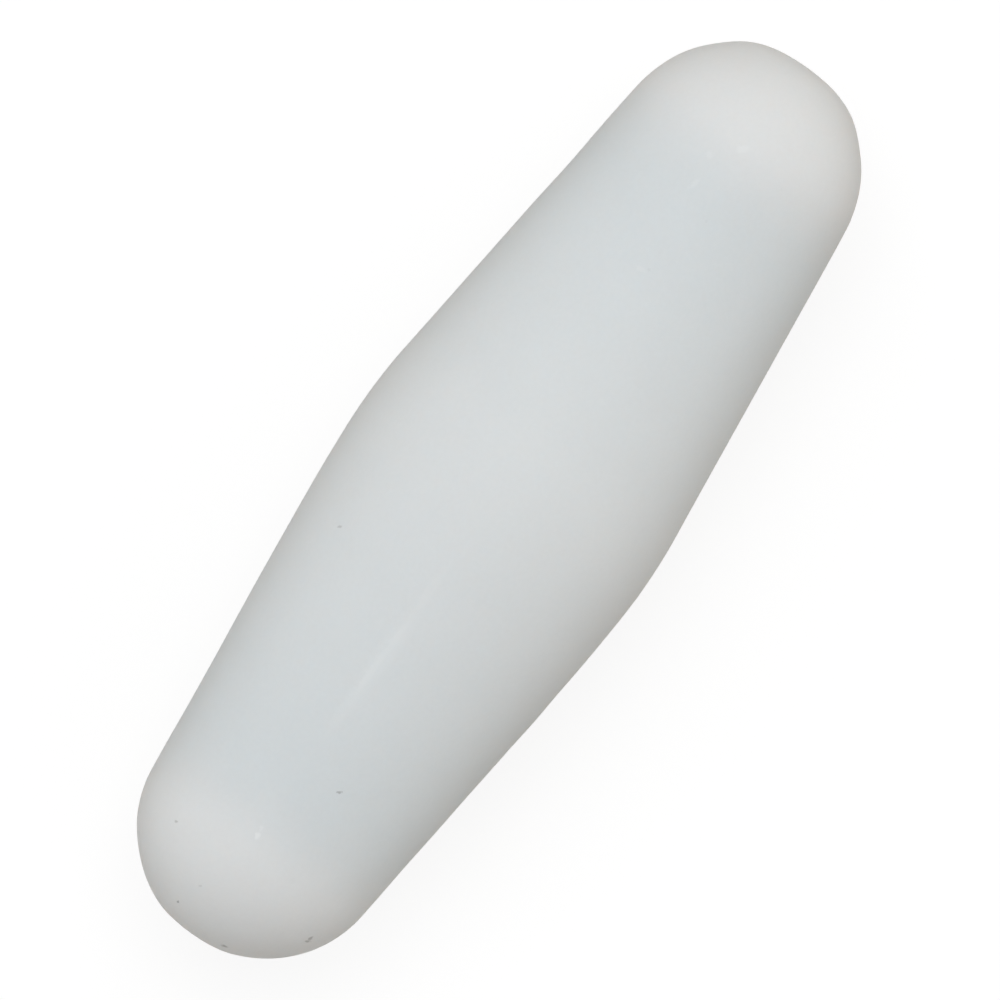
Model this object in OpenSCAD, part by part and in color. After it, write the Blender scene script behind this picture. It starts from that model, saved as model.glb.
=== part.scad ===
// Double-tapered magnetic stir bar: a seamless jacket moulded round a bar magnet.
//
// The bar lies along X with its middle at the origin. It is widest at its
// belly, where it touches the floor of a vessel, so that it spins about Z with
// both ends clear. Sizes are in millimetres and angles in degrees.

/* [Bar] */
// Length of the bar from tip to tip
bar_length = 50; // [38:1:64]
// Diameter of the belly, half way along the bar
belly_d = 15.9; // [14:0.05:19]
// Radius along the bar that rounds the belly between its two tapers
belly_blend_r = 33; // [15:1:60]
// Angle between each tapered flank and the bar's axis
taper_angle = 6.2; // [3:0.1:9]

/* [Ends] */
// How far each tip is dressed back from a full ball nose
tip_relief = 0.1; // [0.05:0.01:0.5]
// Radius of the flatter crown on each tip
crown_r = 9.5; // [8:0.5:20]
// Radius that blends each crown into its ball nose
crown_blend_r = 4; // [1:0.5:4.5]

/* [Magnet] */
// Diameter of the bar magnet
magnet_d = 8; // [4:0.5:10]
// Chamfer round both ends of the magnet
magnet_chamfer = 0.5; // [0.1:0.1:1]
// Thickness of the jacket beyond each end of the magnet
end_wall = 6.5; // [3:0.5:12]
// Clearance all round the magnet in its sealed pocket
magnet_clearance = 0.03; // [0.01:0.01:0.2]

/* [Hidden] */
$fn = 240;

// An arc is drawn this much more proud than a flatter neighbour, and runs on past
// the place where the two touch by this angle, so that the two cross cleanly there
hair = 0.0002;
overrun = 3;

half_length = bar_length / 2;
magnet_length = bar_length - 2 * (end_wall + magnet_clearance);

// Outlines are drawn as [radius, distance along the bar]. Directions are angles
// away from the bar's axis, so that 90 points straight out from it.
straight_out = 90;
flank_normal = straight_out - taper_angle;

// The arc of the belly has its centre on the far side of the axis
belly_centre = [belly_d / 2 - belly_blend_r, 0];

// The ball nose touches the flank, and its tip would pass the finished tip
flank_r_at_middle = belly_centre[0] + belly_blend_r / cos(taper_angle);
ball_tip = half_length + tip_relief;
nose_r = (flank_r_at_middle - ball_tip * tan(taper_angle))
    / (1 / cos(taper_angle) - tan(taper_angle));
nose_centre = [0, ball_tip - nose_r];

// The crown ends at the finished tip
crown_centre = [0, half_length - crown_r];

// The blend lies inside both the ball and the crown, and touches both
nose_to_blend = nose_r - crown_blend_r;
crown_to_blend = crown_r - crown_blend_r;
crown_to_nose = nose_centre[1] - crown_centre[1];
blend_past_nose = (crown_to_blend ^ 2 - nose_to_blend ^ 2 - crown_to_nose ^ 2)
    / (2 * crown_to_nose);
blend_off_axis = sqrt(nose_to_blend ^ 2 - blend_past_nose ^ 2);
blend_centre = [blend_off_axis, nose_centre[1] + blend_past_nose];
nose_end = atan2(blend_off_axis, blend_past_nose);
crown_end = atan2(blend_off_axis, blend_past_nose + crown_to_nose);

// Point at a distance from a centre, in the direction of an angle off the axis
function toward(centre, distance, angle) =
    centre + distance * [sin(angle), cos(angle)];

// Slice of a disc between two directions
module slice(centre, radius, from_angle, to_angle) {
    beyond = 2 * radius;
    intersection() {
        translate(centre) circle(r = radius);
        polygon([
            centre,
            toward(centre, beyond, from_angle),
            toward(centre, beyond, (from_angle + to_angle) / 2),
            toward(centre, beyond, to_angle)
        ]);
    }
}

// One tapered half of the section, from the middle of the bar to one tip
module half_section() {
    polygon([
        [0, 0],
        toward(belly_centre, belly_blend_r, flank_normal),
        toward(nose_centre, nose_r, flank_normal),
        nose_centre
    ]);
    slice(nose_centre, nose_r + hair, nose_end, flank_normal + overrun);
    translate(blend_centre) circle(r = crown_blend_r + 2 * hair);
    slice(crown_centre, crown_r, 0, crown_end);
}

// Section of the jacket's outside on one side of the axis
module jacket_section() {
    belly_reach = taper_angle + overrun;
    intersection() {
        union() {
            half_section();
            mirror([0, 1]) half_section();
            slice(
                belly_centre,
                belly_blend_r + hair,
                straight_out - belly_reach,
                straight_out + belly_reach
            );
        }
        translate([0, -bar_length]) square([belly_d, 2 * bar_length]);
    }
}

// Chamfered rod in the form of the magnet, larger all round by a margin
module magnet_form(margin) {
    radius = magnet_d / 2 + margin;
    reach = magnet_length / 2 + margin;
    rotate_extrude()
        polygon([
            [0, -reach],
            [radius - magnet_chamfer, -reach],
            [radius, magnet_chamfer - reach],
            [radius, reach - magnet_chamfer],
            [radius - magnet_chamfer, reach],
            [0, reach]
        ]);
}

// Seamless jacket with a sealed pocket for the magnet
module jacket() {
    color([0.84, 0.86, 0.86])
        rotate([0, 90, 0])
            difference() {
                rotate_extrude() jacket_section();
                magnet_form(magnet_clearance);
            }
}

// Bar magnet, magnetised along its length
module bar_magnet() {
    color([0.36, 0.37, 0.39])
        rotate([0, 90, 0])
            magnet_form(0);
}

jacket();
bar_magnet();
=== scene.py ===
"""Dresses the magnetic stir bar: a moulded PTFE jacket, spun to its section, round a ground bar magnet."""

import logging
import math
from dataclasses import dataclass
from enum import Enum
from typing import Callable, Iterable, Mapping

import bpy
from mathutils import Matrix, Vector


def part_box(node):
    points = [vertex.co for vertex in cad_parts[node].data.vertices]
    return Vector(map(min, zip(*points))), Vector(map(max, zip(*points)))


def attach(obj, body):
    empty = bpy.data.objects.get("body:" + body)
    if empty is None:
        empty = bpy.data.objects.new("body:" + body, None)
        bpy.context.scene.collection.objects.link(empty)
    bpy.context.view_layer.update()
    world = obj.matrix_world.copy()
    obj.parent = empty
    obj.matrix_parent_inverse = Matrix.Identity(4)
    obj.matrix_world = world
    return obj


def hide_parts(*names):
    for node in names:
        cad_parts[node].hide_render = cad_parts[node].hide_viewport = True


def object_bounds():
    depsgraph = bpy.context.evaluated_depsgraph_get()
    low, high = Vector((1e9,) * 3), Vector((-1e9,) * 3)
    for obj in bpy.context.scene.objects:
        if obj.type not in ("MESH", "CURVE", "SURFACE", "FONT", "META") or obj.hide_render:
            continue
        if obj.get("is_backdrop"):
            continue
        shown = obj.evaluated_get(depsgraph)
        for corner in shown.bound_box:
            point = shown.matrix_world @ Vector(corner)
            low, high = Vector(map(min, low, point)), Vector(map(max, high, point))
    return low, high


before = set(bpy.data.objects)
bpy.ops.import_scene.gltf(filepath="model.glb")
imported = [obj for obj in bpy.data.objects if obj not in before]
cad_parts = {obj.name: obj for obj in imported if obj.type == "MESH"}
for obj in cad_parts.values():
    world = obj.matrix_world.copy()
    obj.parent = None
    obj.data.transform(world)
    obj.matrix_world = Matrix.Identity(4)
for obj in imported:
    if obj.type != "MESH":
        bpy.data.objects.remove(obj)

MM = 0.001  # metres in a millimetre
FULL_TURN = 2 * math.pi
STRAIGHT_OUT = 90.0  # degrees between the way that a tip points and straight out from the axis
NOISE_LOW, NOISE_HIGH = 0.3, 0.7  # most of a noise texture's values lie between these
WAVE_PITCH = math.pi / 10  # the step of its coordinate at which a wave texture of scale 1 repeats
WHITE = "FFFFFF"

# The numbers of sockets that share their names with others of the same node
MIX_NUMBERS = (2, 3)
MIX_COLOURS = (6, 7)
MIXED_COLOUR = 2
VECTOR_FROM = (7, 8)
VECTOR_TO = (9, 10)

log = logging.getLogger("stir_bar")

Point = tuple[float, float]
Colour = tuple[float, float, float, float]


class End(Enum):
    """One end of the bar, by the way that its tip points along X."""

    LEFT = -1
    RIGHT = 1


class MarkKind(Enum):
    """What a small mark on the jacket is."""

    GRIT = "dark grit at the surface, or fainter where it lies just below"
    # Painted highlight: a glint of the lamp painted paler, on a place whose roughness is made lower
    PAINTED_GLINT = "a place rubbed paler and smoother"


def linear(hex_colour: str) -> Colour:
    """Turns an sRGB hex colour into the linear one that shaders take.

    Args:
        hex_colour: six hex digits, such as "D6DADB".

    Returns:
        Red, green, blue and an alpha of 1.
    """
    channels = [int(hex_colour[i : i + 2], 16) / 255 for i in (0, 2, 4)]
    red, green, blue = (c / 12.92 if c <= 0.04045 else ((c + 0.055) / 1.055) ** 2.4 for c in channels)
    return (red, green, blue, 1.0)


def add_node(
    tree: bpy.types.NodeTree,
    kind: str,
    inputs: Mapping[str | int, object] | None = None,
    **settings: object,
) -> bpy.types.Node:
    """Adds one node with its settings and links.

    Args:
        tree: the node tree that gets it.
        kind: its type, without the leading "ShaderNode".
        inputs: for an input's name or number, its value or the socket that feeds it.
        **settings: values for the node's own attributes.

    Returns:
        The new node.
    """
    node = tree.nodes.new("ShaderNode" + kind)
    for name, value in settings.items():
        setattr(node, name, value)
    for name, value in (inputs or {}).items():
        if isinstance(value, bpy.types.NodeSocket):
            tree.links.new(value, node.inputs[name])
        else:
            node.inputs[name].default_value = value
    return node


def new_material(name: str) -> tuple[bpy.types.Material, bpy.types.NodeTree]:
    """Makes a material with an empty node tree.

    Args:
        name: the material's name.

    Returns:
        The material and its tree.
    """
    material = bpy.data.materials.new(name)
    material.use_nodes = True
    material.node_tree.nodes.clear()
    return material, material.node_tree


@dataclass(frozen=True)
class Arc:
    """A round stretch of the jacket's section, in millimetres and degrees.

    Its centre is given along the bar and off the axis. Its angles run from the way that the tip
    points.
    """

    along: float
    off_axis: float
    radius: float
    start: float
    stop: float

    def point(self, angle: float) -> Point:
        """Returns the point of the arc at an angle in degrees, as along and off the axis."""
        turn = math.radians(angle)
        return (self.along + self.radius * math.cos(turn), self.off_axis + self.radius * math.sin(turn))

    def points(self, pitch: float) -> list[tuple[Point, float]]:
        """Spaces points along the arc, its start included and its stop left out.

        Args:
            pitch: the longest step allowed, in millimetres.

        Returns:
            Each point with the angle that its surface faces.
        """
        steps = max(2, math.ceil(math.radians(self.stop - self.start) * self.radius / pitch))
        angles = [self.start + (self.stop - self.start) * i / steps for i in range(steps)]
        return [(self.point(angle), angle) for angle in angles]


@dataclass(frozen=True)
class Band:
    """A band right round the jacket that was dressed a little off the drawn section, in millimetres.

    Attributes:
        end: the end whose tip it is measured from.
        from_tip: the length of section from that tip to the band's middle.
        spread: how far from its middle the band fades.
        proud: how far it stands proud, or how deep it was cut if it is negative.
    """

    end: End
    from_tip: float
    spread: float
    proud: float

    def height(self, run: float) -> float:
        """Returns how far the band stands proud at a length of section from its tip."""
        return self.proud * math.exp(-(((run - self.from_tip) / self.spread) ** 2) / 2)


@dataclass(frozen=True)
class Pull:
    """A soft swelling or hollow on one side of the jacket, in millimetres and degrees.

    Attributes:
        x: place of its middle along the bar.
        turn: place of its middle round the bar, from the top towards the near side.
        proud: how far it swells, or sinks if it is negative.
        reach: how far from its middle it fades to nothing.
    """

    x: float
    turn: float
    proud: float
    reach: float


@dataclass(frozen=True)
class Mark:
    """A small mark on the jacket's upper side, in millimetres and degrees.

    Attributes:
        x: place along the bar.
        y: place across the bar, positive towards the far side.
        length: its longer size, seen from above.
        width: its shorter size.
        turn: how far its length is turned from the bar's, seen from above.
        strength: how strongly it shows, from 0 to 1.
        mark_kind: what it is, grit being the one real flaw and the other kind a painted highlight.
    """

    x: float
    y: float
    length: float
    width: float
    turn: float
    strength: float
    mark_kind: MarkKind = MarkKind.GRIT


@dataclass(frozen=True)
class PaintedMagnetShade:
    """Where the magnet lies near enough under the jacket's surface to shade it, in millimetres; this shade
    is painted into the base colour.
    """

    half_length: float
    radius: float
    fade: float = 2.4  # on both sides of the magnet's end
    thin_wall: float = 2.0  # the shade is full where the wall is as thin as this
    thick_wall: float = 5.0  # and none is left where it is as thick as this

    def strength(self, tree: bpy.types.NodeTree, place: bpy.types.NodeSocket) -> bpy.types.NodeSocket:
        """Adds the nodes that give the painted shade's strength.

        Args:
            tree: the node tree.
            place: the object coordinates.

        Returns:
            The socket with 0 where no shade is painted, and 1 where the painted shade is fullest.
        """
        split = add_node(tree, "SeparateXYZ", {"Vector": place})
        along = add_node(tree, "Math", {0: split.outputs["X"]}, operation="ABSOLUTE").outputs[0]
        nearest, furthest = (self.half_length - self.fade) * MM, (self.half_length + self.fade) * MM
        over = add_node(
            tree,
            "MapRange",
            {"Value": along, "From Min": nearest, "From Max": furthest, "To Min": 1.0, "To Max": 0.0},
            interpolation_type="SMOOTHSTEP",
        ).outputs[0]
        across = add_node(
            tree, "CombineXYZ", {"Y": split.outputs["Y"], "Z": split.outputs["Z"]}
        ).outputs[0]
        off_axis = add_node(tree, "VectorMath", {0: across}, operation="LENGTH").outputs["Value"]
        thinnest, thickest = (self.radius + self.thin_wall) * MM, (self.radius + self.thick_wall) * MM
        thin = add_node(
            tree,
            "MapRange",
            {"Value": off_axis, "From Min": thinnest, "From Max": thickest, "To Min": 1.0, "To Max": 0.0},
        ).outputs[0]
        return add_node(tree, "Math", {0: over, 1: thin}, operation="MULTIPLY").outputs[0]


@dataclass(frozen=True)
class PtfeFinish:
    """Virgin PTFE, moulded and sintered round the magnet: matt, waxy and slightly translucent.

    Light goes well into it before it comes back, red light furthest. So the jacket is a warm white
    where it is thick, and where the magnet lies close beneath the surface it takes up some of that
    light, red first, and leaves a cool, faintly grey shade. Part of that shade is also painted into the
    base colour, as a painted shade over the magnet. The pale marks are painted highlights on places
    made smoother. The sintered grains leave a faint mottle and a very fine pebbling.
    """

    name: str = "sintered_virgin_ptfe"
    white: str = "E3E5E5"  # thick PTFE, with nothing behind it
    painted_magnet_shade: str = "DCE2E4"  # painted shade: the white made cooler and darker where thin PTFE lies over the magnet
    grit: str = "5E5D58"
    # Colour of the painted highlights, the pale glints along the top
    painted_glint: str = "F2F5F5"
    roughness: float = 0.58
    roughness_spread: float = 0.04  # how much smoother or rougher the grains are
    # Roughness under the painted highlights
    glint_roughness: float = 0.4
    refraction: float = 1.35
    light_reach: tuple[float, float, float] = (1.0, 0.9, 0.85)  # of red, green and blue light
    reach_mm: float = 4.5
    grain_mm: float = 0.22  # pebbling from the sintered grains
    grain_detail: float = 2.0  # how many finer layers the pebbling has
    cloud_mm: float = 3.5  # clouding from uneven packing of the powder
    cloud_detail: float = 3.0
    cloud_share: float = 0.4  # of the mottle, the rest being grains
    mottle: float = 0.012  # how much lighter or darker the mottle makes the white
    grain_depth_mm: float = 0.003
    mark_depth_mm: float = 1.0  # how far into the jacket a mark can be seen
    mark_core: float = 0.3  # the share of a mark, out from its middle, that has its full strength

    def material(
        self, shade: PaintedMagnetShade, marks: Iterable[Mark], surface: Callable[[float], float]
    ) -> bpy.types.Material:
        """Makes the jacket's material.

        Args:
            shade: where the shade of the magnet is painted into the colour.
            marks: the small marks on the upper side.
            surface: the jacket's radius at a place along the bar, in millimetres.

        Returns:
            The material.
        """
        material, tree = new_material(self.name)
        place = add_node(tree, "TexCoord").outputs["Object"]
        grain_scale, cloud_scale = 1 / (self.grain_mm * MM), 1 / (self.cloud_mm * MM)
        grain = add_node(
            tree, "TexNoise", {"Vector": place, "Scale": grain_scale, "Detail": self.grain_detail}
        ).outputs[0]
        cloud = add_node(
            tree, "TexNoise", {"Vector": place, "Scale": cloud_scale, "Detail": self.cloud_detail}
        ).outputs[0]
        first, second = MIX_NUMBERS
        mixed = add_node(tree, "Mix", {0: self.cloud_share, first: grain, second: cloud}).outputs[0]
        noisy = {"From Min": NOISE_LOW, "From Max": NOISE_HIGH}
        darkest, lightest = 1 - self.mottle, 1 + self.mottle
        mottle = add_node(
            tree, "MapRange", {"Value": mixed, **noisy, "To Min": darkest, "To Max": lightest}
        ).outputs[0]
        smoothest, roughest = (self.roughness + way * self.roughness_spread for way in (-1, 1))
        gloss = add_node(
            tree, "MapRange", {"Value": grain, **noisy, "To Min": smoothest, "To Max": roughest}
        ).outputs[0]
        under, over = MIX_COLOURS
        # Painted shade: the base colour is made cooler and darker over the magnet, where the wall is thin
        thick, thin = linear(self.white), linear(self.painted_magnet_shade)
        painted_shade_mask = shade.strength(tree, place)
        colour = add_node(
            tree, "Mix", {0: painted_shade_mask, under: thick, over: thin}, data_type="RGBA"
        ).outputs[MIXED_COLOUR]
        colour = add_node(tree, "VectorMath", {0: colour, 1: mottle}, operation="MULTIPLY").outputs[0]
        ragged = self.ragged(tree, place, grain)
        for mark in marks:
            cover = self.cover(tree, ragged, mark, surface(mark.x))
            # Grit keeps its own dark colour; the pale marks are painted highlights, and they also get a
            # lower roughness
            shown = linear(self.grit if mark.mark_kind is MarkKind.GRIT else self.painted_glint)
            colour = add_node(
                tree, "Mix", {0: cover, under: colour, over: shown}, data_type="RGBA"
            ).outputs[MIXED_COLOUR]
            if mark.mark_kind is MarkKind.PAINTED_GLINT:
                smooth = self.glint_roughness
                gloss = add_node(tree, "Mix", {0: cover, first: gloss, second: smooth}).outputs[0]
        relief = add_node(
            tree, "Bump", {"Height": grain, "Strength": 1.0, "Distance": self.grain_depth_mm * MM}
        ).outputs[0]
        shader = add_node(
            tree,
            "BsdfPrincipled",
            {
                "Base Color": colour,
                "Roughness": gloss,
                "IOR": self.refraction,
                "Subsurface Weight": 1.0,
                "Subsurface Radius": self.light_reach,
                "Subsurface Scale": self.reach_mm * MM,
                "Normal": relief,
            },
        )
        add_node(tree, "OutputMaterial", {"Surface": shader.outputs[0]})
        return material

    def ragged(
        self, tree: bpy.types.NodeTree, place: bpy.types.NodeSocket, grain: bpy.types.NodeSocket
    ) -> bpy.types.NodeSocket:
        """Shifts the coordinates a little from grain to grain, so that marks get ragged edges.

        Args:
            tree: the node tree.
            place: the object coordinates.
            grain: the noise of the grains.

        Returns:
            The socket with the shifted coordinates.
        """
        reach = Vector((1, -1, 0)) * self.grain_mm * MM
        from_low, from_high = VECTOR_FROM
        to_low, to_high = VECTOR_TO
        shift = add_node(
            tree,
            "MapRange",
            {
                "Vector": grain,
                from_low: (0, 0, 0),
                from_high: (1, 1, 1),
                to_low: -reach / 2,
                to_high: reach / 2,
            },
            data_type="FLOAT_VECTOR",
        ).outputs["Vector"]
        return add_node(tree, "VectorMath", {0: place, 1: shift}, operation="ADD").outputs[0]

    def cover(
        self, tree: bpy.types.NodeTree, place: bpy.types.NodeSocket, mark: Mark, radius: float
    ) -> bpy.types.NodeSocket:
        """Adds the nodes that say how strongly a mark covers the surface.

        Args:
            tree: the node tree.
            place: the coordinates, with their ragged shift.
            mark: the mark.
            radius: the jacket's radius at the mark, in millimetres.

        Returns:
            The socket, from 0 outside the mark to its strength in its middle.
        """
        height = math.sqrt(max(radius**2 - mark.y**2, 0.0))
        local = add_node(
            tree,
            "Mapping",
            {
                "Vector": place,
                "Location": Vector((mark.x, mark.y, height)) * MM,
                "Rotation": (0.0, 0.0, math.radians(mark.turn)),
                "Scale": Vector((mark.length / 2, mark.width / 2, self.mark_depth_mm)) * MM,
            },
            vector_type="TEXTURE",
        ).outputs[0]
        away = add_node(tree, "VectorMath", {0: local}, operation="LENGTH").outputs["Value"]
        return add_node(
            tree,
            "MapRange",
            {
                "Value": away,
                "From Min": self.mark_core,
                "From Max": 1.0,
                "To Min": mark.strength,
                "To Max": 0.0,
            },
            interpolation_type="SMOOTHSTEP",
        ).outputs[0]


@dataclass(frozen=True)
class AlnicoFinish:
    """Cast alnico, ground round and to length.

    The casting gives a grey, faintly grainy metal, and the wheel leaves fine rings round it.
    """

    name: str = "ground_cast_alnico"
    light: str = "A2A4A6"
    dark: str = "7C7E81"
    smoothest: float = 0.32  # roughness on the rings' crests
    roughest: float = 0.48  # and between them
    grain_mm: float = 1.5  # the coarse grain of the casting
    grain_detail: float = 5.0
    ring_pitch_mm: float = 0.25  # the wheel's feed for each turn of the bar
    ring_depth_mm: float = 0.004
    ring_wander: float = 1.5  # how uneven the rings are
    ring_wander_scale: float = 2.0  # how fine that unevenness is
    ring_relief: float = 0.25  # the share of their depth that grinding left

    def material(self) -> bpy.types.Material:
        """Makes and returns the magnet's material."""
        material, tree = new_material(self.name)
        place = add_node(tree, "TexCoord").outputs["Object"]
        grain_scale = 1 / (self.grain_mm * MM)
        grain = add_node(
            tree, "TexNoise", {"Vector": place, "Scale": grain_scale, "Detail": self.grain_detail}
        ).outputs[0]
        ring_scale = WAVE_PITCH / (self.ring_pitch_mm * MM)
        rings = add_node(
            tree,
            "TexWave",
            {
                "Vector": place,
                "Scale": ring_scale,
                "Distortion": self.ring_wander,
                "Detail Scale": self.ring_wander_scale,
            },
            bands_direction="X",
        ).outputs[1]
        light, dark = MIX_COLOURS
        colour = add_node(
            tree,
            "Mix",
            {0: grain, light: linear(self.light), dark: linear(self.dark)},
            data_type="RGBA",
        ).outputs[MIXED_COLOUR]
        gloss = add_node(
            tree, "MapRange", {"Value": rings, "To Min": self.smoothest, "To Max": self.roughest}
        ).outputs[0]
        depth = self.ring_depth_mm * MM
        relief = add_node(
            tree, "Bump", {"Height": rings, "Strength": self.ring_relief, "Distance": depth}
        ).outputs[0]
        shader = add_node(
            tree,
            "BsdfPrincipled",
            {"Base Color": colour, "Metallic": 1.0, "Roughness": gloss, "Normal": relief},
        )
        add_node(tree, "OutputMaterial", {"Surface": shader.outputs[0]})
        return material


@dataclass
class BarMagnet:
    """The bar magnet inside the jacket, which keeps its packed form. Sizes are in millimetres."""

    node: str = "bar_magnet"
    chamfer: float = 0.5

    @property
    def half_length(self) -> float:
        """Half of the magnet's length."""
        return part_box(self.node)[1][0] / MM

    @property
    def radius(self) -> float:
        """The magnet's radius."""
        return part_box(self.node)[1][2] / MM

    def dress(self, finish: AlnicoFinish) -> bpy.types.Object:
        """Gives the magnet its finish.

        Args:
            finish: the magnet's finish.

        Returns:
            The magnet.
        """
        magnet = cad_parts[self.node]
        magnet.data.materials.clear()
        magnet.data.materials.append(finish.material())
        return magnet


@dataclass
class Jacket:
    """The seamless jacket: tapered both ways from its belly, with dressed ball ends and a sealed pocket.

    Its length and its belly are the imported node's. Other sizes are in millimetres and degrees.
    """

    magnet: BarMagnet
    belly_blend_r: float = 33.0
    taper_angle: float = 6.2
    tip_relief: float = 0.1
    crown_r: float = 9.5
    crown_blend_r: float = 4.0
    pocket_clearance: float = 0.03
    flank_pitch: float = 0.45  # the longest step along the flanks and the belly
    nose_pitch: float = 0.22  # the longest step along the ends
    spokes: int = 192
    weld: float = 0.0005  # points nearer than this become one
    crease_angle: float = 30.0  # a sharper edge than this isn't smoothed
    bands: tuple[Band, ...] = ()
    pulls: tuple[Pull, ...] = ()
    node: str = "jacket"
    name: str = "ptfe_jacket"

    @property
    def half_length(self) -> float:
        """Half of the bar's length."""
        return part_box(self.node)[1][0] / MM

    @property
    def belly_r(self) -> float:
        """The belly's radius."""
        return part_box(self.node)[1][2] / MM

    def arcs(self) -> list[Arc]:
        """Works out the arcs of one half of the section, from the tip to the belly, each touching the next.

        The straight flank lies between the last two.

        Returns:
            The arcs of the crown, its blend, the ball nose and the belly.
        """
        taper = math.radians(self.taper_angle)
        flank_faces = STRAIGHT_OUT - self.taper_angle
        belly_off = self.belly_r - self.belly_blend_r
        flank_r = belly_off + self.belly_blend_r / math.cos(taper)
        ball_tip = self.half_length + self.tip_relief
        nose_r = (flank_r - ball_tip * math.tan(taper)) / (1 / math.cos(taper) - math.tan(taper))
        nose_along = ball_tip - nose_r
        crown_along = self.half_length - self.crown_r
        to_nose = nose_r - self.crown_blend_r
        to_crown = self.crown_r - self.crown_blend_r
        apart = nose_along - crown_along
        past_nose = (to_crown**2 - to_nose**2 - apart**2) / (2 * apart)
        off_axis = math.sqrt(to_nose**2 - past_nose**2)
        crown_end = math.degrees(math.atan2(off_axis, past_nose + apart))
        blend_end = math.degrees(math.atan2(off_axis, past_nose))
        return [
            Arc(crown_along, 0, self.crown_r, 0, crown_end),
            Arc(nose_along + past_nose, off_axis, self.crown_blend_r, crown_end, blend_end),
            Arc(nose_along, 0, nose_r, blend_end, flank_faces),
            Arc(0, belly_off, self.belly_blend_r, flank_faces, STRAIGHT_OUT),
        ]

    def half_section(self, end: End) -> list[Point]:
        """Works out one half of the dressed section, from its tip to just short of the belly's middle.

        Args:
            end: which half.

        Returns:
            Points along the bar and off the axis.
        """
        *nose_arcs, belly = self.arcs()
        drawn = [step for arc in nose_arcs for step in arc.points(self.nose_pitch)]
        start, stop = nose_arcs[-1].point(belly.start), belly.point(belly.start)
        steps = math.ceil(math.dist(start, stop) / self.flank_pitch)
        for i in range(steps):
            along, off_axis = (a + (b - a) * i / steps for a, b in zip(start, stop))
            drawn.append(((along, off_axis), belly.start))
        drawn += belly.points(self.flank_pitch)
        points: list[Point] = []
        run = 0.0
        last = drawn[0][0]
        for place, faces in drawn:
            run += math.dist(last, place)
            last = place
            proud = sum(band.height(run) for band in self.bands if band.end is end)
            turn = math.radians(faces)
            along = place[0] + proud * math.cos(turn)
            off_axis = min(place[1] + proud * math.sin(turn), self.belly_r)
            points.append((end.value * along, off_axis))
        return points

    def section(self) -> list[Point]:
        """Works out the whole dressed section, from the left tip to the right one.

        Returns:
            Points along the bar and off the axis.
        """
        middle = (0.0, self.belly_r)
        return self.half_section(End.LEFT) + [middle] + list(reversed(self.half_section(End.RIGHT)))

    def pocket_section(self) -> list[Point]:
        """Works out the section of the sealed pocket, which the magnet fills.

        Returns:
            Points along the bar and off the axis, from the pocket's left end to its right.
        """
        reach = self.magnet.half_length + self.pocket_clearance
        radius = self.magnet.radius + self.pocket_clearance
        chamfer = self.magnet.chamfer
        right = [(reach - chamfer, radius), (reach, radius - chamfer), (reach, 0.0)]
        return [(-along, off_axis) for along, off_axis in reversed(right)] + right

    def spun(self, section: list[Point], name: str, inside: bool) -> bpy.types.Object:
        """Spins a section round the bar's axis into a closed skin.

        Args:
            section: points along the bar and off the axis, with both ends on the axis.
            name: the object's name.
            inside: True to face the skin inwards.

        Returns:
            The new object.
        """
        bpy.ops.object.select_all(action="DESELECT")
        (along, off_axis), *rest = section
        bpy.ops.mesh.primitive_plane_add(size=MM, location=(along * MM, 0, off_axis * MM))
        skin = bpy.context.object
        skin.name = skin.data.name = name
        bpy.ops.object.mode_set(mode="EDIT")
        bpy.ops.mesh.select_mode(type="VERT")
        bpy.ops.mesh.select_all(action="SELECT")
        bpy.ops.mesh.merge(type="CENTER")
        for next_along, next_off_axis in rest:
            step = Vector((next_along - along, 0, next_off_axis - off_axis)) * MM
            bpy.ops.mesh.extrude_region_move(TRANSFORM_OT_translate={"value": step})
            along, off_axis = next_along, next_off_axis
        bpy.ops.mesh.select_all(action="SELECT")
        bpy.ops.mesh.spin(steps=self.spokes, angle=FULL_TURN, center=(0, 0, 0), axis=(1, 0, 0))
        bpy.ops.mesh.select_all(action="SELECT")
        bpy.ops.mesh.remove_doubles(threshold=self.weld * MM)
        bpy.ops.mesh.normals_make_consistent(inside=inside)
        bpy.ops.object.mode_set(mode="OBJECT")
        bpy.ops.object.transform_apply(location=True, rotation=True, scale=True)
        bpy.ops.object.shade_smooth_by_angle(angle=math.radians(self.crease_angle))
        return skin

    def pull(self, skin: bpy.types.Object) -> None:
        """Draws the skin softly in or out at each of the places named for it.

        Args:
            skin: the jacket's outer skin.
        """
        bpy.ops.object.select_all(action="DESELECT")
        bpy.context.view_layer.objects.active = skin
        skin.select_set(True)
        for pull in self.pulls:
            bpy.ops.object.mode_set(mode="EDIT")
            bpy.ops.mesh.select_all(action="DESELECT")
            bpy.ops.object.mode_set(mode="OBJECT")
            turn = math.radians(pull.turn)
            outward = Vector((0, -math.sin(turn), math.cos(turn)))
            side = [vertex for vertex in skin.data.vertices if vertex.co.dot(outward) > 0]
            middle = min(side, key=lambda vertex: self.off_line(vertex.co, pull.x * MM, outward))
            middle.select = True
            bpy.ops.object.mode_set(mode="EDIT")
            bpy.ops.transform.translate(
                value=middle.normal * pull.proud * MM,
                use_proportional_edit=True,
                proportional_edit_falloff="SMOOTH",
                proportional_size=pull.reach * MM,
            )
            bpy.ops.object.mode_set(mode="OBJECT")

    @staticmethod
    def off_line(place: Vector, x: float, outward: Vector) -> float:
        """Returns how far a place lies from the line that runs straight out of the bar's axis at x."""
        away = place - Vector((x, 0, 0))
        return (away - outward * away.dot(outward)).length

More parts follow.
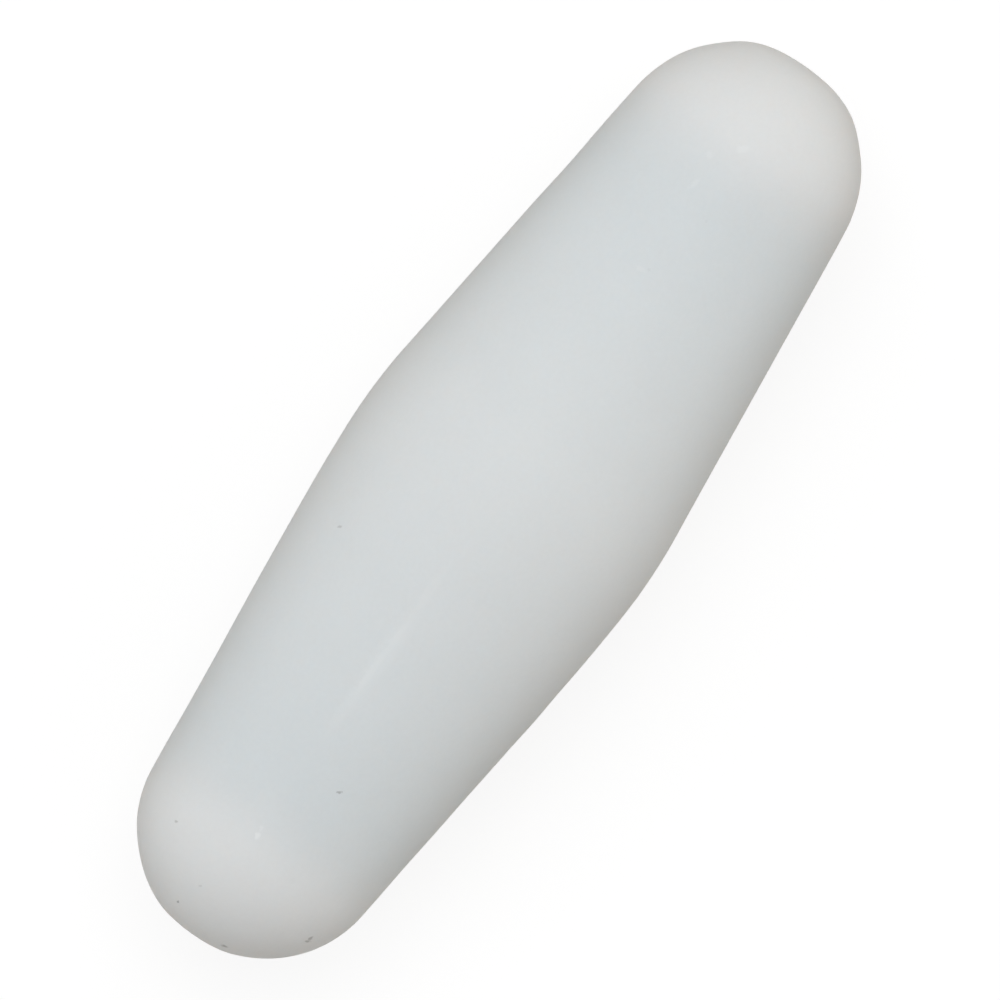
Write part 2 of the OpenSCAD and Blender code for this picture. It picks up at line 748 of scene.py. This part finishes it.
    def build(self, finish: PtfeFinish, marks: Iterable[Mark]) -> bpy.types.Object:
        """Models and dresses the jacket.

        Args:
            finish: the jacket's finish.
            marks: the small marks on its upper side.

        Returns:
            The finished piece.
        """
        outline = self.section()
        pocket = self.spun(self.pocket_section(), "pocket_wall", inside=True)
        skin = self.spun(outline, self.name, inside=False)
        self.pull(skin)
        bpy.ops.object.select_all(action="DESELECT")
        pocket.select_set(True)
        skin.select_set(True)
        bpy.context.view_layer.objects.active = skin
        bpy.ops.object.join()
        # The magnet's shade, painted into the jacket's base colour
        shade = PaintedMagnetShade(half_length=self.magnet.half_length, radius=self.magnet.radius)
        skin.data.materials.clear()
        skin.data.materials.append(finish.material(shade, marks, lambda x: radius_at(outline, x)))
        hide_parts(self.node)
        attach(skin, "root")
        return skin


def radius_at(outline: list[Point], along: float) -> float:
    """Finds how far an outline stands off the axis.

    Args:
        outline: points along the bar and off the axis, in order along the bar.
        along: the place along the bar.

    Returns:
        The distance off the axis there.
    """
    for (before, low), (after, high) in zip(outline, outline[1:]):
        if before <= along <= after and after > before:
            return low + (high - low) * (along - before) / (after - before)
    return 0.0


@dataclass
class Studio:
    """A light tent over a pale board, with the camera above the bar, in metres and degrees.

    Left, right, top and bottom are the picture's.
    """

    picture_px: float = 1000.0
    bar_middle_px: Point = (498.92, 500.79)  # across and down, where the picture shows the bar's middle
    bar_turn: float = 54.68  # how far the bar's right end is turned up from the picture's right
    view_width: float = 0.04704
    camera_height: float = 0.6
    sensor_width: float = 36.0
    floor_size: float = 3.0
    floor_bounce: str = "85765D"  # what the warm board throws back on the bar
    floor_shown: str = "7C7C7C"  # how much of the shadow shows on it
    floor_glow: float = 0.84  # what brings the lit board up to white where it is seen
    ceiling_level: float = 0.4
    ceiling_edge: float = 30.0  # how high above the floor the tent's ceiling starts
    ceiling_blur: float = 2.0  # how far below and above that edge the walls fade into it
    left_level: float = 1.389  # of the tent's wall on the left
    right_level: float = 1.425
    end_level: float = 0.403  # of its walls at the top and bottom
    left_light: str = "FBFDFF"  # a little cool, as from a window
    right_light: str = "FFFDFB"  # a little warm, as from a lamp
    key_level: float = 0.426
    key_lean: float = 20.0  # of the soft box towards the top
    key_distance: float = 0.5
    key_size: float = 0.35
    nearest_seen: float = 0.01
    furthest_seen: float = 10.0

    @property
    def right(self) -> Vector:
        """The way to the picture's right."""
        return Vector((math.cos(math.radians(self.bar_turn)), -math.sin(math.radians(self.bar_turn)), 0))

    @property
    def top(self) -> Vector:
        """The way to the picture's top."""
        return Vector((math.sin(math.radians(self.bar_turn)), math.cos(math.radians(self.bar_turn)), 0))

    def camera(self) -> None:
        """Adds the camera, which looks straight down."""
        across, down = (self.picture_px / 2 - place for place in self.bar_middle_px)
        middle = (self.right * across - self.top * down) * self.view_width / self.picture_px
        above = middle + Vector((0, 0, self.camera_height))
        bpy.ops.object.camera_add(location=above, rotation=(0, 0, -math.radians(self.bar_turn)))
        camera = bpy.context.object
        camera.name = "camera"
        camera.data.sensor_width = self.sensor_width
        camera.data.lens = self.sensor_width * self.camera_height / self.view_width
        camera.data.clip_start = self.nearest_seen
        camera.data.clip_end = self.furthest_seen
        bpy.context.scene.camera = camera

    def key_light(self) -> None:
        """Adds one large soft box above the bar, leaning to the top."""
        lean = math.radians(self.key_lean)
        way = self.top * math.sin(lean) + Vector((0, 0, math.cos(lean)))
        bpy.ops.object.light_add(type="AREA", location=way * self.key_distance)
        lamp = bpy.context.object
        lamp.name = "key_soft_box"
        lamp.rotation_euler = way.to_track_quat("Z", "Y").to_euler()
        lamp.data.shape = "SQUARE"
        lamp.data.size = self.key_size
        # At this power a white surface that faces a small soft box from this distance has a level of 1
        lamp.data.energy = self.key_level * math.pi**2 * self.key_distance**2
        lamp.visible_camera = False

    def tent(self) -> None:
        """Lights the scene from all round, and shows white to the camera and in gloss."""
        world = bpy.data.worlds.new("light_tent")
        world.use_nodes = True
        tree = world.node_tree
        tree.nodes.clear()
        way = add_node(tree, "TexCoord").outputs["Generated"]
        height = add_node(tree, "SeparateXYZ", {"Vector": way}).outputs["Z"]
        sideways = add_node(
            tree, "VectorMath", {0: way, 1: self.right}, operation="DOT_PRODUCT"
        ).outputs["Value"]
        to_right = add_node(tree, "MapRange", {"Value": sideways, "From Min": -1.0}).outputs[0]
        first, second = MIX_NUMBERS
        side_levels = {first: self.left_level, second: self.right_level}
        side = add_node(tree, "Mix", {0: to_right, **side_levels}).outputs[0]
        across = add_node(tree, "Math", {0: sideways}, operation="ABSOLUTE").outputs[0]
        walls = add_node(tree, "Mix", {0: across, first: self.end_level, second: side}).outputs[0]
        blur = self.ceiling_blur
        low, high = (math.sin(math.radians(self.ceiling_edge + lean)) for lean in (-blur, blur))
        edge = {"From Min": low, "From Max": high}
        level = add_node(
            tree, "MapRange", {"Value": height, **edge, "To Min": walls, "To Max": self.ceiling_level}
        ).outputs[0]
        one, other = MIX_COLOURS
        lights = {one: linear(self.left_light), other: linear(self.right_light)}
        light = add_node(
            tree, "Mix", {0: to_right, **lights}, data_type="RGBA"
        ).outputs[MIXED_COLOUR]
        seen = self.seen(tree)
        colour = add_node(
            tree, "Mix", {0: seen, one: light, other: linear(WHITE)}, data_type="RGBA"
        ).outputs[MIXED_COLOUR]
        strength = add_node(tree, "Mix", {0: seen, first: level, second: 1.0}).outputs[0]
        back = add_node(tree, "Background", {"Color": colour, "Strength": strength}).outputs[0]
        add_node(tree, "OutputWorld", {"Surface": back})
        bpy.context.scene.world = world

    def seen(self, tree: bpy.types.NodeTree) -> bpy.types.NodeSocket:
        """Adds the nodes that tell a ray that shows a surface from one that lights it.

        Args:
            tree: the node tree.

        Returns:
            The socket with 1 for camera, gloss and transmission rays, and 0 for others.
        """
        path = add_node(tree, "LightPath").outputs
        gloss = add_node(
            tree, "Math", {0: path["Is Glossy Ray"], 1: path["Is Transmission Ray"]}, operation="MAXIMUM"
        ).outputs[0]
        return add_node(tree, "Math", {0: path["Is Camera Ray"], 1: gloss}, operation="MAXIMUM").outputs[0]

    def floor(self, height: float) -> None:
        """Adds the floor: a painted board, matt, so that it takes a soft shadow and shows no gloss.

        Args:
            height: where its surface is.
        """
        bpy.ops.object.select_all(action="DESELECT")
        bpy.ops.mesh.primitive_plane_add(size=self.floor_size, location=(0, 0, height))
        floor = bpy.context.object
        floor.name = "floor"
        material, tree = new_material("matt_pale_board")
        seen = self.seen(tree)
        one, other = MIX_COLOURS
        colours = {one: linear(self.floor_bounce), other: linear(self.floor_shown)}
        colour = add_node(tree, "Mix", {0: seen, **colours}, data_type="RGBA").outputs[MIXED_COLOUR]
        matt = add_node(tree, "BsdfDiffuse", {"Color": colour}).outputs[0]
        level = add_node(tree, "Math", {0: seen, 1: self.floor_glow}, operation="MULTIPLY").outputs[0]
        glow = add_node(tree, "Emission", {"Color": linear(WHITE), "Strength": level}).outputs[0]
        both = add_node(tree, "AddShader", {0: matt, 1: glow}).outputs[0]
        add_node(tree, "OutputMaterial", {"Surface": both})
        floor.data.materials.append(material)
        floor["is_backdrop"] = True


# The ends were dressed by hand after moulding, and differ a little from the drawn section and
# from each other
BANDS = (
    Band(End.RIGHT, from_tip=2.95, spread=0.65, proud=0.045),
    Band(End.RIGHT, from_tip=4.7, spread=0.6, proud=-0.02),
    Band(End.RIGHT, from_tip=7.7, spread=1.0, proud=-0.025),
    Band(End.RIGHT, from_tip=26.3, spread=1.2, proud=0.015),
    Band(End.LEFT, from_tip=0.5, spread=1.3, proud=-0.03),
    Band(End.LEFT, from_tip=3.6, spread=1.5, proud=-0.05),
    Band(End.LEFT, from_tip=9.4, spread=1.8, proud=0.04),
    Band(End.LEFT, from_tip=19.0, spread=2.5, proud=0.03),
    Band(End.LEFT, from_tip=26.3, spread=1.2, proud=-0.04),
)

PULLS = (
    Pull(24.0, 90, proud=0.03, reach=1.6),
    Pull(-24.6, 90, proud=-0.03, reach=2.0),
    Pull(-23.2, -90, proud=-0.03, reach=1.8),
    Pull(15.0, -90, proud=-0.035, reach=3.0),
    Pull(-14.4, 90, proud=0.025, reach=3.0),
    Pull(-7.5, 90, proud=0.025, reach=1.8),
)

MARKS = (
    Mark(-15.38, -1.78, length=0.26, width=0.2, turn=-54.7, strength=0.41),
    Mark(-5.27, 5.36, length=0.2, width=0.18, turn=0, strength=0.24),
    Mark(-20.93, 3.65, length=0.2, width=0.18, turn=0, strength=0.29),
    Mark(-23.99, 1.4, length=0.26, width=0.17, turn=-54.7, strength=0.5),
    Mark(-22.72, 0.97, length=0.24, width=0.15, turn=-54.7, strength=0.14),
    Mark(-24.46, -1.59, length=0.5, width=0.16, turn=-70, strength=0.46),
    Mark(-22.03, -4.61, length=0.42, width=0.16, turn=-54.7, strength=0.42),
    Mark(-21.82, -4.65, length=0.34, width=0.16, turn=-10, strength=0.42),
    Mark(16.2, -0.38, length=0.22, width=0.2, turn=0, strength=0.035),
    Mark(12.8, 0.52, length=0.24, width=0.2, turn=0, strength=0.05),
    Mark(19.46, -2.39, length=0.24, width=0.2, turn=0, strength=0.03),
    Mark(-20.03, -2.38, length=0.5, width=0.4, turn=0, strength=0.02),
    # From here on, pale painted highlights: glints of the lamp along the top of the bar, on smoother places
    Mark(-19.23, 0.16, length=0.45, width=0.34, turn=35, strength=0.5, mark_kind=MarkKind.PAINTED_GLINT),
    Mark(-18.84, 0.21, length=0.4, width=0.25, turn=5, strength=0.25, mark_kind=MarkKind.PAINTED_GLINT),
    Mark(-12.2, 0.28, length=3.4, width=0.8, turn=0, strength=0.08, mark_kind=MarkKind.PAINTED_GLINT),
    Mark(-9.06, 0.19, length=10, width=1.3, turn=0, strength=0.11, mark_kind=MarkKind.PAINTED_GLINT),
    Mark(-9.95, 0.25, length=3.2, width=0.5, turn=0, strength=0.15, mark_kind=MarkKind.PAINTED_GLINT),
    Mark(-7.99, 0.2, length=2.8, width=0.5, turn=0, strength=0.12, mark_kind=MarkKind.PAINTED_GLINT),
    Mark(-5.2, 0.18, length=4.4, width=0.6, turn=0, strength=0.06, mark_kind=MarkKind.PAINTED_GLINT),
    Mark(17.32, 1.12, length=0.85, width=0.38, turn=-15, strength=0.19, mark_kind=MarkKind.PAINTED_GLINT),
    Mark(18.81, 1.31, length=0.55, width=0.42, turn=35, strength=0.16, mark_kind=MarkKind.PAINTED_GLINT),
    Mark(19.93, 0.19, length=0.95, width=0.55, turn=-42, strength=0.2, mark_kind=MarkKind.PAINTED_GLINT),
    Mark(12.61, 0.84, length=0.7, width=0.36, turn=90, strength=0.13, mark_kind=MarkKind.PAINTED_GLINT),
)


def main() -> None:
    """Builds the scene in order and reports each piece."""
    logging.basicConfig(level=logging.INFO, format="%(message)s")
    cad_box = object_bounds()
    studio = Studio()
    studio.camera()
    studio.key_light()
    studio.tent()
    studio.floor(height=cad_box[0][2])

    magnet = BarMagnet()
    metal = magnet.dress(AlnicoFinish())
    log.info("%s: %d faces", metal.name, len(metal.data.polygons))
    jacket = Jacket(magnet, bands=BANDS, pulls=PULLS).build(PtfeFinish(), MARKS)
    log.info("%s: %d faces", jacket.name, len(jacket.data.polygons))

    bpy.context.scene.view_settings.view_transform = "Standard"


if __name__ == "__main__":
    main()
